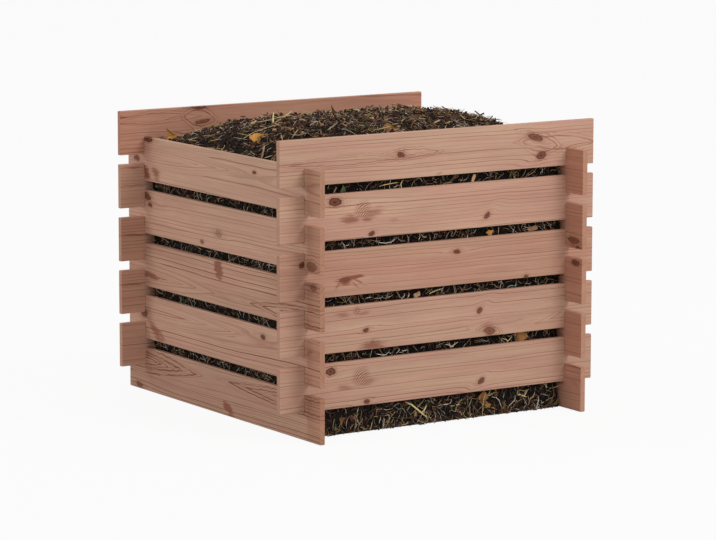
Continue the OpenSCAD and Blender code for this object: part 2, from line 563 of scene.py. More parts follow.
def knot_group():
    """Bends the grain round one knot, swells its growth rings and draws the knot with the arcs round it."""
    tree, given = new_group(
        "Grain round a knot",
        ("Place", "Middle", "Half sizes", "Turn", "Uneven", "Bent", "Swell", "Nearness", "Stain", "Arcs",
         "Patches", "Depth", "Rings", "Arc strength"),
        ("Bent", "Swell", "Nearness", "Stain", "Arcs", "Patches"),
        vectors=("Place", "Middle", "Half sizes"),
    )
    away, _, scaled = way_from_middle(tree, given)
    above = add_node(tree, "ShaderNodeSeparateXYZ", (away,)).outputs[1]
    # Growth lines near the knot are pushed aside, most of the way back to their straight course.
    push, reach = 0.6, (4.5, 2.4, 1)
    reached = add_node(tree, "ShaderNodeVectorMath", (scaled, reach), operation="DIVIDE")
    squared = add_node(tree, "ShaderNodeVectorMath", (reached, reached), operation="DOT_PRODUCT")
    fading = add_node(tree, "ShaderNodeMath", (squared.outputs["Value"], -1), operation="MULTIPLY")
    near = add_node(tree, "ShaderNodeMath", (fading,), operation="EXPONENT")
    shifted = add_node(tree, "ShaderNodeMath", (given["Depth"], -push), operation="MULTIPLY")
    aside = add_node(tree, "ShaderNodeMath", (above, near), operation="MULTIPLY")
    bent = add_node(tree, "ShaderNodeMath", (aside, shifted, given["Bent"]), operation="MULTIPLY_ADD")
    # Rings that swell over the branch show as pointed lenses round the knot.
    swell_along, swell_up = 7, 2.2
    lens = lens_distance(tree, scaled, swell_along, swell_up)
    swollen = add_node(tree, "ShaderNodeMath", (lens, -1), operation="MULTIPLY")
    over = add_node(tree, "ShaderNodeMath", (swollen,), operation="EXPONENT")
    swell = add_node(tree, "ShaderNodeMath", (over, given["Rings"], given["Swell"]),
                     operation="MULTIPLY_ADD")
    # The knot has a soft edge, and the wood round it is stained too, more faintly.
    edge_outside, edge_inside, halo_outside, halo_inside, halo_share = 1.12, 0.88, 1.9, 0.9, 0.5
    from_middle = add_node(tree, "ShaderNodeVectorMath", (scaled,), operation="LENGTH").outputs["Value"]
    distance = add_node(tree, "ShaderNodeMath", (from_middle, given["Uneven"]), operation="ADD")
    nearest = add_node(tree, "ShaderNodeMath", (distance, given["Nearness"]), operation="MINIMUM")
    inside = add_node(tree, "ShaderNodeMapRange",
                      (distance, edge_outside, edge_inside, 0, given["Depth"]), **SMOOTH)
    stain = add_node(tree, "ShaderNodeMath", (inside, given["Stain"]), operation="MAXIMUM")
    stained = add_node(tree, "ShaderNodeMath", (given["Depth"], halo_share), operation="MULTIPLY")
    halo = add_node(tree, "ShaderNodeMapRange", (distance, halo_outside, halo_inside, 0, stained), **SMOOTH)
    patches = add_node(tree, "ShaderNodeMath", (halo, given["Patches"]), operation="MAXIMUM")
    # Thin broken arcs stand just outside the knot, plainest beyond its two ends.
    arc_along, arc_up, arc_pitch = 2.1, 1.45, 0.55
    outline = lens_distance(tree, scaled, arc_along, arc_up)
    turns = add_node(tree, "ShaderNodeMath", (outline, 2 * math.pi / arc_pitch, -2 * math.pi / arc_pitch),
                     operation="MULTIPLY_ADD")
    wave = add_node(tree, "ShaderNodeMath", (turns,), operation="COSINE")
    lines = add_node(tree, "ShaderNodeMapRange", (wave, 0.3, 1), **SMOOTH)
    fade_in = add_node(tree, "ShaderNodeMapRange", (outline, 0.75, 0.95), **SMOOTH)
    fade_out = add_node(tree, "ShaderNodeMapRange", (outline, 1, 2.4, given["Arc strength"], 0), **SMOOTH)
    shown = add_node(tree, "ShaderNodeMath", (fade_in, fade_out), operation="MULTIPLY")
    drawn = add_node(tree, "ShaderNodeMath", (lines, shown), operation="MULTIPLY")
    arcs = add_node(tree, "ShaderNodeMath", (drawn, given["Arcs"]), operation="MAXIMUM")
    add_node(tree, "NodeGroupOutput", (bent, swell, nearest, stain, arcs, patches))
    return tree


def patch_group():
    """Adds one soft patch, combed out along the grain."""
    tree, given = new_group(
        "Soft patch",
        ("Place", "Middle", "Half sizes", "Turn", "Combed", "Patches", "Strength", "Full"),
        ("Patches",),
        vectors=("Place", "Middle", "Half sizes"),
    )
    edge_outside = 1.2
    _, _, scaled = way_from_middle(tree, given)
    from_middle = add_node(tree, "ShaderNodeVectorMath", (scaled,), operation="LENGTH").outputs["Value"]
    distance = add_node(tree, "ShaderNodeMath", (from_middle, given["Combed"]), operation="ADD")
    inside = add_node(tree, "ShaderNodeMapRange",
                      (distance, edge_outside, given["Full"], 0, given["Strength"]), **SMOOTH)
    patches = add_node(tree, "ShaderNodeMath", (inside, given["Patches"]), operation="MAXIMUM")
    add_node(tree, "NodeGroupOutput", (patches,))
    return tree


def curl_group():
    """Adds one feather of fine bowed lines."""
    tree, given = new_group(
        "Curly grain",
        ("Place", "Middle", "Half sizes", "Turn", "Curls"),
        ("Curls",),
        vectors=("Place", "Middle", "Half sizes"),
    )
    # Distance between the lines, and how much they bow, in millimetres
    pitch, bow = 5.8, 0.012
    edge_outside, edge_inside = 1.2, 0.4
    _, turned, scaled = way_from_middle(tree, given)
    split = add_node(tree, "ShaderNodeSeparateXYZ", (turned,))
    squared = add_node(tree, "ShaderNodeMath", (split.outputs[0], split.outputs[0]), operation="MULTIPLY")
    bowed = add_node(tree, "ShaderNodeMath", (squared, bow, split.outputs[1]), operation="MULTIPLY_ADD")
    turns = add_node(tree, "ShaderNodeMath", (bowed, 2 * math.pi / pitch), operation="MULTIPLY")
    wave = add_node(tree, "ShaderNodeMath", (turns,), operation="COSINE")
    lines = add_node(tree, "ShaderNodeMapRange", (wave, -0.2, 0.8), **SMOOTH)
    from_middle = add_node(tree, "ShaderNodeVectorMath", (scaled,), operation="LENGTH").outputs["Value"]
    inside = add_node(tree, "ShaderNodeMapRange", (from_middle, edge_outside, edge_inside), **SMOOTH)
    drawn = add_node(tree, "ShaderNodeMath", (lines, inside), operation="MULTIPLY")
    curls = add_node(tree, "ShaderNodeMath", (drawn, given["Curls"]), operation="MAXIMUM")
    add_node(tree, "NodeGroupOutput", (curls,))
    return tree


def lens_group():
    """Swells the growth rings over one long pointed figure, so that they close round its middle."""
    tree, given = new_group(
        "Pointed figure",
        ("Place", "Middle", "Half sizes", "Turn", "Swell", "Height"),
        ("Swell",),
        vectors=("Place", "Middle", "Half sizes"),
    )
    _, _, scaled = way_from_middle(tree, given)
    inwards = add_node(tree, "ShaderNodeMath", (1, lens_distance(tree, scaled, 1, 1)), operation="SUBTRACT",
                       use_clamp=True)
    swell = add_node(tree, "ShaderNodeMath", (inwards, given["Height"], given["Swell"]),
                     operation="MULTIPLY_ADD")
    add_node(tree, "NodeGroupOutput", (swell,))
    return tree


def grain_group(settings):
    """Growth rings, fibres and knots of Douglas fir, on millimetres along, into and up a board."""
    tree, given = new_group(
        "Douglas fir grain",
        ("Place", "Bent", "Swell", "Nearness", "Stain", "Arcs", "Patches", "Curls", "Pith up", "Pith deep",
         "Taper", "Seed", "Tint", "Bold", "End"),
        ("Color", "Roughness", "Relief"),
        vectors=("Place", "Tint"),
        colours=("Color",),
    )
    # Each board, by its seed, is cut from another part of the same pattern.
    pattern_stride, ring_stride = (431, 173, 257), 31.7
    place = add_node(tree, "ShaderNodeSeparateXYZ", (given["Place"],))
    bent_place = add_node(tree, "ShaderNodeCombineXYZ", (place.outputs[0], place.outputs[1], given["Bent"]))
    shift = add_node(tree, "ShaderNodeVectorMath", (pattern_stride, given["Seed"]), operation="MULTIPLY")
    spot = add_node(tree, "ShaderNodeVectorMath", (bent_place, shift), operation="ADD")

    def stretched_noise(along, across, detail):
        """Noise whose features are this many millimetres long and wide."""
        squeezed = add_node(tree, "ShaderNodeVectorMath", (spot, (along, across, across)),
                            operation="DIVIDE")
        return add_node(tree, "ShaderNodeTexNoise", {"Vector": squeezed, "Scale": 1, "Detail": detail})

    # Growth rings lie round the pith, which runs roughly along the board and wanders.
    wander = add_node(tree, "ShaderNodeSeparateColor", (stretched_noise(620, 120, 1).outputs["Color"],))
    wander_reach, wobble_reach = 14, 3
    drift = add_node(tree, "ShaderNodeMath", (place.outputs[0], MM), operation="MULTIPLY")
    taper = add_node(tree, "ShaderNodeMath", (drift, given["Taper"], given["Pith deep"]),
                     operation="MULTIPLY_ADD")
    sides = []
    for coordinate, pith, channel in ((given["Bent"], given["Pith up"], 0), (place.outputs[1], taper, 1)):
        from_pith = add_node(tree, "ShaderNodeMath", (coordinate, pith), operation="SUBTRACT")
        centred = add_node(tree, "ShaderNodeMath", (wander.outputs[channel], 0.5), operation="SUBTRACT")
        sides.append(add_node(tree, "ShaderNodeMath", (centred, wander_reach, from_pith),
                              operation="MULTIPLY_ADD"))
    section = add_node(tree, "ShaderNodeCombineXYZ", sides)
    radius = add_node(tree, "ShaderNodeVectorMath", (section,), operation="LENGTH").outputs["Value"]
    swollen = add_node(tree, "ShaderNodeMath", (radius, given["Swell"]), operation="ADD")
    wobble = stretched_noise(150, 18, 1)
    wobbled = add_node(tree, "ShaderNodeMath", (wobble, wobble_reach, swollen), operation="MULTIPLY_ADD")
    ring = add_node(tree, "ShaderNodeMath", (wobbled, settings.ring_width / MM), operation="DIVIDE")

    def growth_lines(rings, start, strength_power):
        """Darkness that grows through each ring and ends sharply, with each ring of its own strength."""
        darkest = 0.95
        count = add_node(tree, "ShaderNodeMath", (rings,), operation="FLOOR")
        phase = add_node(tree, "ShaderNodeMath", (rings,), operation="FRACT")
        key = add_node(tree, "ShaderNodeMath", (given["Seed"], ring_stride, count), operation="MULTIPLY_ADD")
        chance = add_node(tree, "ShaderNodeTexWhiteNoise", {"W": key}, noise_dimensions="1D")
        strength = add_node(tree, "ShaderNodeMath", (chance, strength_power), operation="POWER")
        rise = add_node(tree, "ShaderNodeMapRange", (phase, start, darkest), **SMOOTH)
        fall = add_node(tree, "ShaderNodeMapRange", (phase, darkest, 1, 1, 0), **SMOOTH)
        shape = add_node(tree, "ShaderNodeMath", (rise, fall), operation="MULTIPLY")
        return add_node(tree, "ShaderNodeMath", (shape, strength), operation="MULTIPLY")

    # Fine rings lie between the strong ones, this many times as close and this strong.
    fineness, fine_share = 2.6, 0.34
    strong_lines = growth_lines(ring, start=0.76, strength_power=1.1)
    fine_ring = add_node(tree, "ShaderNodeMath", (ring, fineness), operation="MULTIPLY")
    fine_lines = growth_lines(fine_ring, start=0.4, strength_power=1.5)
    lines = add_node(tree, "ShaderNodeMath", (fine_lines, fine_share, strong_lines),
                     operation="MULTIPLY_ADD")

    # Bands of heartwood, streaks a few millimetres wide and the fibres, each paler or darker than the rest
    band = add_node(tree, "ShaderNodeMapRange", (stretched_noise(360, 30, 2), 0.38, 0.68))
    wood = add_node(tree, "ShaderNodeMix",
                    {SHARE: band, FIRST: rgba(settings.early_wood), SECOND: rgba(settings.pink_wood)},
                    data_type="RGBA").outputs[MIXED]
    broken = add_node(tree, "ShaderNodeMapRange", (stretched_noise(70, 14, 1), 0.35, 0.55, 0.35, 1))
    arcs = add_node(tree, "ShaderNodeMath", (given["Arcs"], broken), operation="MULTIPLY")
    arced = add_node(tree, "ShaderNodeMath", (lines, arcs), operation="MAXIMUM")
    curled = add_node(tree, "ShaderNodeMath", (given["Curls"], arced), operation="ADD")
    lined = add_node(tree, "ShaderNodeMath", (curled, given["Bold"]), operation="MULTIPLY", use_clamp=True)
    ringed = add_node(tree, "ShaderNodeMix", {SHARE: lined, FIRST: wood, SECOND: rgba(settings.late_wood)},
                      data_type="RGBA").outputs[MIXED]
    streak = add_node(tree, "ShaderNodeMapRange", (stretched_noise(120, 4.5, 3), 0.25, 0.75, 0.92, 1.08))
    fibre = add_node(tree, "ShaderNodeMapRange", (stretched_noise(22, 0.8, 2), 0.25, 0.75, 0.95, 1.05))
    cloud = add_node(tree, "ShaderNodeMapRange", (stretched_noise(420, 80, 1), 0.3, 0.7, 0.94, 1.06))
    toned = add_node(tree, "ShaderNodeVectorMath", (ringed, given["Tint"]), operation="MULTIPLY")
    for factor in (streak, fibre, cloud):
        toned = add_node(tree, "ShaderNodeVectorMath", {0: toned, "Scale": factor.outputs[0]},
                         operation="SCALE")
    coloured = add_node(tree, "ShaderNodeMix",
                        {SHARE: given["Patches"], FIRST: toned, SECOND: rgba(settings.patch)},
                        data_type="RGBA").outputs[MIXED]

    # A knot is a darker branch with a bark rim, a dark heart and faint rings between them.
    heart_depth, ring_turns, ring_depth = 0.85, 24, 0.15
    rim = add_node(tree, "ShaderNodeMapRange", (given["Nearness"], 0.62, 0.9), **SMOOTH)
    heart = add_node(tree, "ShaderNodeMapRange", (given["Nearness"], 0.5, 0.1, 0, heart_depth), **SMOOTH)
    darkest = add_node(tree, "ShaderNodeMath", (rim, heart), operation="MAXIMUM")
    turns = add_node(tree, "ShaderNodeMath", (given["Nearness"], ring_turns), operation="MULTIPLY")
    wave = add_node(tree, "ShaderNodeMath", (turns,), operation="COSINE")
    ringing = add_node(tree, "ShaderNodeMath", (wave, ring_depth, darkest), operation="MULTIPLY_ADD",
                       use_clamp=True)
    branch = add_node(tree, "ShaderNodeMix",
                      {SHARE: ringing, FIRST: rgba(settings.knot_heart), SECOND: rgba(settings.knot_rim)},
                      data_type="RGBA").outputs[MIXED]
    knotted = add_node(tree, "ShaderNodeMix", {SHARE: given["Stain"], FIRST: coloured, SECOND: branch},
                       data_type="RGBA").outputs[MIXED]

    # Sawn ends are dry and a little duller, with the rings still showing, and knots are smoother.
    dryness, smoothness, ridge = 0.4, 0.12, 0.5
    dry = add_node(tree, "ShaderNodeMath", (given["End"], dryness), operation="MULTIPLY")
    ended = add_node(tree, "ShaderNodeMix", {SHARE: dry, FIRST: knotted, SECOND: rgba(settings.sawn_end)},
                     data_type="RGBA").outputs[MIXED]
    rough = add_node(tree, "ShaderNodeMapRange", (streak, 0.92, 1.08, 0.6, 0.74))
    resinous = add_node(tree, "ShaderNodeMath", (given["Stain"], -smoothness, rough),
                        operation="MULTIPLY_ADD")
    ridges = add_node(tree, "ShaderNodeMath", (lines, ridge, fibre), operation="MULTIPLY_ADD")
    add_node(tree, "NodeGroupOutput", (ended, resinous, ridges))
    return tree


def add_marks(tree, figure, groups, shared, straight_up):
    """Adds a board's marks one after another, each to what the ones before it gave."""
    no_knot_near = 99
    drawn = {"Bent": straight_up, "Swell": 0, "Nearness": no_knot_near, "Stain": 0, "Arcs": 0, "Patches": 0,
             "Curls": 0}
    for mark in figure.marks:
        known = {
            **shared,
            **drawn,
            **mark.own(),
            "Middle": (mark.along, mark.up, 0),
            "Half sizes": (mark.half_length, mark.half_height, 1),
            "Turn": math.radians(mark.turn),
        }
        if isinstance(mark, Lens):
            known["Place"] = known["Smooth place"]
        group = groups[type(mark)]
        wanted = [socket.name for socket in group.interface.items_tree if socket.in_out == "INPUT"]
        made = add_node(tree, "ShaderNodeGroup", {name: known[name] for name in wanted}, node_tree=group)
        drawn.update({socket.name: socket for socket in made.outputs})
    return drawn


def board_material(node, figure, seed, groups, settings):
    """Planed Douglas fir: salmon heartwood, thin reddish growth lines, dark tight knots, pale arrises that carry a
    painted highlight, and painted shade on the left boards' front ends.
    """
    material = new_material("Planed Douglas fir, " + node.replace("_", " "))
    tree = material.node_tree
    low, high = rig.box(node)
    crosswise = node.startswith(("left", "right"))
    turn = (0, 0, math.pi / 2 if crosswise else 0)
    here = add_node(tree, "ShaderNodeTexCoord")
    on_board = add_node(
        tree, "ShaderNodeMapping",
        {"Vector": here.outputs["Object"], "Location": (low + high) / 2, "Rotation": turn,
         "Scale": (MM, MM, MM)},
        vector_type="TEXTURE",
    )
    # Knots are never quite round, so the places are shaken by a few millimetres before they are measured.
    shake_cell, shake_reach, rag_cell, rag_reach = 18, (6, 0, 5), 6, 0.12
    shake = add_node(tree, "ShaderNodeTexNoise", {"Vector": on_board, "Scale": 1 / shake_cell, "Detail": 0})
    centred = add_node(tree, "ShaderNodeVectorMath", (shake.outputs["Color"], (0.5, 0.5, 0.5)),
                       operation="SUBTRACT")
    shaken = add_node(tree, "ShaderNodeVectorMath", (centred, shake_reach, on_board),
                      operation="MULTIPLY_ADD")
    ragged = add_node(tree, "ShaderNodeTexNoise", {"Vector": on_board, "Scale": 1 / rag_cell, "Detail": 2})
    uneven = add_node(tree, "ShaderNodeMapRange", (ragged, 0.25, 0.75, -rag_reach, rag_reach))
    # Patches are combed out along the fibres.
    fibre_cell, comb_reach = (40, 3, 3), 0.35
    squeezed = add_node(tree, "ShaderNodeVectorMath", (on_board, fibre_cell), operation="DIVIDE")
    strands = add_node(tree, "ShaderNodeTexNoise", {"Vector": squeezed, "Scale": 1, "Detail": 2})
    combed = add_node(tree, "ShaderNodeMapRange", (strands, 0.3, 0.7, -comb_reach, comb_reach))
    apart = add_node(tree, "ShaderNodeSeparateXYZ", (shaken,))
    place = add_node(tree, "ShaderNodeCombineXYZ", (apart.outputs[0], apart.outputs[2]))
    straight = add_node(tree, "ShaderNodeSeparateXYZ", (on_board,))
    smooth_place = add_node(tree, "ShaderNodeCombineXYZ", (straight.outputs[0], straight.outputs[2]))
    shared = {"Place": place, "Smooth place": smooth_place, "Uneven": uneven, "Combed": combed}
    marks = add_marks(tree, figure, groups, shared, straight.outputs[2])
    facing = add_node(tree, "ShaderNodeSeparateXYZ", (here.outputs["Normal"],))
    along_normal = facing.outputs[1] if crosswise else facing.outputs[0]
    squareness = add_node(tree, "ShaderNodeMath", (along_normal,), operation="ABSOLUTE")
    end = add_node(tree, "ShaderNodeMapRange", (squareness, 0.6, 0.8))
    # The most reddened boards reflect this much less green and blue; on the right and back boards this is painted
    # shade, the warm dark of shaded wood.
    least_green, least_blue = 0.8, 0.74
    tint = [figure.tone * (1 - figure.red * (1 - least)) for least in (1, least_green, least_blue)]
    grain = add_node(
        tree, "ShaderNodeGroup",
        {"Place": on_board, **marks, "Pith up": figure.pith_up, "Pith deep": figure.pith_deep,
         "Taper": figure.taper, "Seed": seed, "Tint": tint, "Bold": figure.bold, "End": end},
        node_tree=groups["grain"],
    )
    # Painted shade: the left boards are darkened where they stand out in front of the front wall, in the shade of the
    # front boards' ends.
    shade_from, shade_fully = -434, -442
    outside = add_node(tree, "ShaderNodeMapRange",
                       (straight.outputs[0], shade_from, shade_fully, 0, node.startswith("left")))
    painted_shade = add_node(tree, "ShaderNodeMix",
                        {SHARE: outside, FIRST: grain.outputs["Color"], SECOND: rgba(settings.painted_shade)},
                        data_type="RGBA", blend_type="MULTIPLY").outputs[MIXED]
    # A painted highlight along the four arrises, where the rounded edges catch the light, mixed with paler wear from
    # planing and handling, over this many millimetres.
    highlight_width, highlight_share = 2.6, 0.35
    edges = []
    for axis, half in ((1, LAYOUT["thickness"] / 2 / MM), (2, LAYOUT["height"] / 2 / MM)):
        off_middle = add_node(tree, "ShaderNodeMath", (straight.outputs[axis],), operation="ABSOLUTE")
        edges.append(add_node(tree, "ShaderNodeMapRange", (off_middle, half - highlight_width, half)))
    arris = add_node(tree, "ShaderNodeMath", edges, operation="MULTIPLY")
    paler = add_node(tree, "ShaderNodeMath", (arris, highlight_share), operation="MULTIPLY")
    highlit = add_node(tree, "ShaderNodeMix",
                    {SHARE: paler, FIRST: painted_shade, SECOND: rgba(settings.highlight_and_wear)},
                    data_type="RGBA").outputs[MIXED]
    bump = add_node(tree, "ShaderNodeBump",
                    {"Height": grain.outputs["Relief"], "Distance": 0.0004, "Strength": 0.35})
    shader = add_node(
        tree, "ShaderNodeBsdfPrincipled",
        {"Base Color": highlit, "Roughness": grain.outputs["Roughness"], "Normal": bump,
         "IOR": 1.45, "Specular IOR Level": 0.1},
    )
    add_node(tree, "ShaderNodeOutputMaterial", {"Surface": shader})
    return material


# Modelling helpers

def start_piece(name):
    """Names the primitive that was just added and returns it with its own place, turn and scale applied."""
    piece = bpy.context.object
    piece.name = name
    bpy.ops.object.transform_apply(location=True, rotation=True, scale=True)
    return piece


def select_only(piece):
    """Makes one object the only selected one."""
    bpy.ops.object.select_all(action="DESELECT")
    piece.select_set(True)
    bpy.context.view_layer.objects.active = piece


def pick(piece, kind, wanted):
    """Goes to edit mode with only the vertices, edges or faces selected whose points all pass the test."""
    bpy.ops.object.mode_set(mode="EDIT")
    bpy.ops.mesh.select_mode(type=kind)
    bpy.ops.mesh.select_all(action="DESELECT")
    bpy.ops.object.mode_set(mode="OBJECT")
    mesh = piece.data
    if kind == "VERT":
        for vertex in mesh.vertices:
            vertex.select = wanted(vertex.co)
    else:
        for part in mesh.edges if kind == "EDGE" else mesh.polygons:
            part.select = wanted([mesh.vertices[i].co for i in part.vertices])
    bpy.ops.object.mode_set(mode="EDIT")


def apply_modifier(piece, name, kind, **settings):
    """Adds a modifier with its settings and applies it."""
    modifier = piece.modifiers.new(name, kind)
    for setting, value in settings.items():
        setattr(modifier, setting, value)
    bpy.ops.object.modifier_apply(modifier=modifier.name)


def remove(piece):
    """Deletes an object and its mesh."""
    mesh = piece.data
    bpy.data.objects.remove(piece)
    bpy.data.meshes.remove(mesh)


def ride_as(piece, node, slot):
    """Lets a finished piece stand for a node of the frame, on the same body."""
    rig.ride(piece, BODY_OF_NODE[node])
    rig.replaces(piece, node)
    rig.slot(piece, slot)


# Boards

def notched_board(name, settings, notched_above, notched_below):
    """A board along X round the origin: a planed blank with eased arrises, sawn where others cross it."""
    length, thickness, height = LAYOUT["length"], LAYOUT["thickness"], LAYOUT["height"]
    sharp = math.radians(50)
    bpy.ops.object.select_all(action="DESELECT")
    bpy.ops.mesh.primitive_cube_add(size=1, scale=(length, thickness, height))
    board = start_piece(name)
    pick(board, "EDGE", lambda points: abs(points[0].x - points[1].x) > length / 2)
    bpy.ops.mesh.bevel(offset=settings.arris, segments=4, affect="EDGES")
    bpy.ops.object.mode_set(mode="OBJECT")
    depth, width = LAYOUT["notch_depth"], thickness + 2 * settings.notch_play
    cutters = []
    for sign, notched in ((1, notched_above), (-1, notched_below)):
        for side in (-1, 1):
            if notched:
                bpy.ops.object.select_all(action="DESELECT")
                bpy.ops.mesh.primitive_cube_add(
                    size=1,
                    location=(side * LAYOUT["crossing"], 0, sign * height / 2),
                    scale=(width, 2 * thickness, 2 * depth),
                )
                cutters.append(start_piece("notch cutter"))
    select_only(board)
    for cutter in cutters:
        apply_modifier(board, "Notch", "BOOLEAN", object=cutter, operation="DIFFERENCE", solver="EXACT")
        remove(cutter)
    apply_modifier(board, "Easing", "BEVEL", width=settings.easing, segments=2, limit_method="ANGLE",
                   angle_limit=sharp)
    bpy.ops.object.shade_smooth_by_angle(angle=sharp)
    apply_modifier(board, "Flat faces", "WEIGHTED_NORMAL", keep_sharp=True)
    return board


class COMPOSTER_OT_boards(bpy.types.Operator):
    """Cut the twenty boards and lay them crosswise in the frame"""

    bl_idname = "composter.boards"
    bl_label = "Boards"
    bl_options = {"REGISTER", "UNDO"}

    def execute(self, context):
        settings = context.scene.composter_boards
        groups = {
            Knot: knot_group(),
            Patch: patch_group(),
            Curl: curl_group(),
            Lens: lens_group(),
            "grain": grain_group(settings),
        }
        patterns = {
            "lowest": notched_board("lowest board", settings, True, False),
            "middle": notched_board("middle board", settings, True, True),
            "top": notched_board("top board", settings, False, True),
        }
        rng = np.random.default_rng(FIGURE_SEED)
        for wall in WALLS:
            crosswise = wall in ("left", "right")
            for k in range(1, BOARDS_PER_WALL + 1):
                node = f"{wall}_board_{k}"
                kind = "lowest" if crosswise and k == 1 else "middle"
                kind = "top" if not crosswise and k == BOARDS_PER_WALL else kind
                low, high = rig.box(node)
                mesh = patterns[kind].data.copy()
                turn = Matrix.Rotation(math.pi / 2 if crosswise else 0, 4, "Z")
                mesh.transform(Matrix.Translation((low + high) / 2) @ turn)
                board = bpy.data.objects.new("timber_" + node, mesh)
                context.scene.collection.objects.link(board)
                figure = figure_of(node, rng)
                seed = rng.uniform(0, 90)
                board.data.materials.append(board_material(node, figure, seed, groups, settings))
                ride_as(board, node, "timber")
        for pattern in patterns.values():
            remove(pattern)
        return {"FINISHED"}


# Compost

class Strewn(NamedTuple):
    """One kind of litter: how many copies lie on top and at each side, and their sizes in millimetres."""

    name: str
    on_top: int
    at_side: int
    length: tuple
    width: tuple
    thickness: tuple
    tilt: float
    bend: float


class Placed(NamedTuple):
    """A copy that the eye picks out: on top at x and y, or at a wall's side by its place along and up."""

    first: float
    second: float
    heading: float
    length: float
    width: float
    tone: float
    tilt: float = 4
    roll: float = 0


LITTER = (
    Strewn("crumbs", 4200, 600, (4, 12), (3, 9), (3, 8.5), 30, 0),
    Strewn("shreds", 7400, 2200, (9, 40), (1.2, 3.5), (0.8, 2.4), 20, 0.10),
    Strewn("chips", 700, 160, (7, 21), (4, 10), (2, 6), 20, 0),
    Strewn("straw", 420, 110, (24, 80), (1.4, 2.6), (1.1, 2), 14, 0.12),
    Strewn("strands", 1700, 1300, (14, 60), (0.9, 1.8), (0.8, 1.5), 18, 0.14),
    Strewn("twigs", 280, 26, (30, 80), (2.4, 4.6), (2.4, 4.6), 15, 0.05),
    Strewn("leaves", 80, 24, (10, 22), (7, 14), (8, 16), 16, 0.2),
)
# Each row says what Placed names. Headings on top are counted from the right, so -33 looks level in the
# photograph's view.
PLACED = {
    ("leaves", "top"): (
        (-360, -98, -26, 50, 30, 0.04, -4, 50), (-358, 376, 80, 56, 42, 0.1, 66),
        (-59, -265, -33, 36, 24, 0.3, 0, 40), (-102, -55, 40, 40, 30, 0.35, 45),
        (163, -252, -25, 36, 14, 0.75, 10, 40), (60, -210, -50, 34, 18, 0.6, 0, 35),
    ),
    ("straw", "top"): (
        (-345, -84, -33, 102, 4, 0.85, 10), (-290, -62, -28, 90, 4, 0.85), (-278, -80, -38, 80, 4, 0.8),
        (-268, -70, 20, 84, 4, 0.75, 25), (-300, -76, 60, 56, 4, 0.95, 40),
        (-175, -97, -33, 53, 4, 0.85, 24), (-121, -268, -60, 34, 4, 0.85, 65),
        (-101, -281, -33, 62, 4, 0.85, 20),
    ),
    ("chips", "top"): (
        (-396, -172, -33, 62, 9, 1, 66), (296, -228, -33, 18, 9, 0.1, 45),
    ),
    ("strands", "top"): (
        (-398, 141, -33, 44, 3, 0.6, 82), (-394, 182, -33, 22, 4, 0.55, 8),
        (-399, 91, -33, 19, 4, 0.55, 9), (-217, -290, -33, 22, 4, 0.6, 81),
        (-240, -180, 40, 60, 2.6, 0.5),
    ),
    ("twigs", "top"): (
        (-395, 330, 150, 60, 3.6, 0.3, 35), (-398, 384, -20, 44, 3.6, 0.1, 40),
        (160, -122, -33, 36, 4, 0.2, 15), (187, -132, -33, 32, 4, 0.2, -17),
        (330, 300, 20, 105, 5, 0.1, 12), (375, 230, 60, 70, 5, 0.2, 30), (392, 80, 15, 60, 5, 0.2, 30),
        (396, -60, -40, 50, 5, 0.2, 35), (122, -158, -33, 80, 5, 0.02, 8),
        (146, -182, -25, 60, 4, 0.02, 2), (224, -222, -33, 20, 3.2, 0.05, 50),
        (200, -210, -33, 26, 3, 0.05, 20),
    ),
    ("leaves", "front"): (
        (-295, 648, 88, 26, 22, 0.97, 10, 20), (172, 501, 19, 24, 16, 0.12),
        (-167, 353, 37, 26, 16, 0.35), (282, 203, 7, 58, 28, 0.25), (-292, 35, 42, 28, 16, 0.45),
        (155, 56, 90, 34, 34, 0.33), (173, 28, -28, 60, 14, 0.25),
    ),
    ("strands", "front"): (
        (-320, 646, 64, 24, 2.2, 0.78), (-294, 500, -50, 22, 2.2, 0.6), (-284, 499, 47, 22, 2.2, 0.6),
        (-160, 501, 5, 66, 2.2, 0.6), (-213, 355, 27, 25, 2.2, 0.6), (-107, 348, 80, 22, 2.2, 0.55),
        (-90, 349, 70, 22, 2.2, 0.55), (-170, 203, 8, 45, 2.2, 0.6), (-122, 204, 79, 22, 2.2, 0.6),
        (-102, 205, 14, 18, 2.2, 0.55), (46, 206, 10, 30, 4, 0.7), (44, 205, -39, 22, 2.2, 0.6),
        (-246, 44, 96, 52, 2.2, 0.6), (-163, 52, 0, 51, 2.2, 0.35), (32, 48, 20, 62, 2.2, 0.6),
        (74, 40, 60, 40, 2.2, 0.4), (203, 34, -48, 50, 2.2, 0.6), (250, 30, 60, 40, 2.2, 0.5),
    ),
    ("straw", "front"): (
        (-152, 651, 8, 70, 2.2, 0.9), (-111, 648, 86, 26, 2.8, 0.9), (253, 647, 87, 26, 5, 0.45),
        (-2, 355, 18, 41, 2.4, 0.9), (226, 202, -30, 22, 2.2, 0.9), (239, 203, 46, 20, 2.2, 0.9),
        (-64, 42, -34, 110, 3.4, 0.95), (-40, 40, 40, 60, 3.2, 0.9), (-25, 37, 31, 40, 3, 0.85),
        (281, 44, -14, 30, 3.4, 0.8),
    ),
    ("chips", "front"): (
        (116, 647, 72, 26, 9, 1), (312, 499, 11, 30, 12, 0.8), (-63, 351, 22, 21, 12, 0.9),
    ),
}
LITTER_SEED = 20
OUTWARD = {
    "left": Vector((-1, 0, 0)),
    "right": Vector((1, 0, 0)),
    "front": Vector((0, -1, 0)),
    "back": Vector((0, 1, 0)),
}


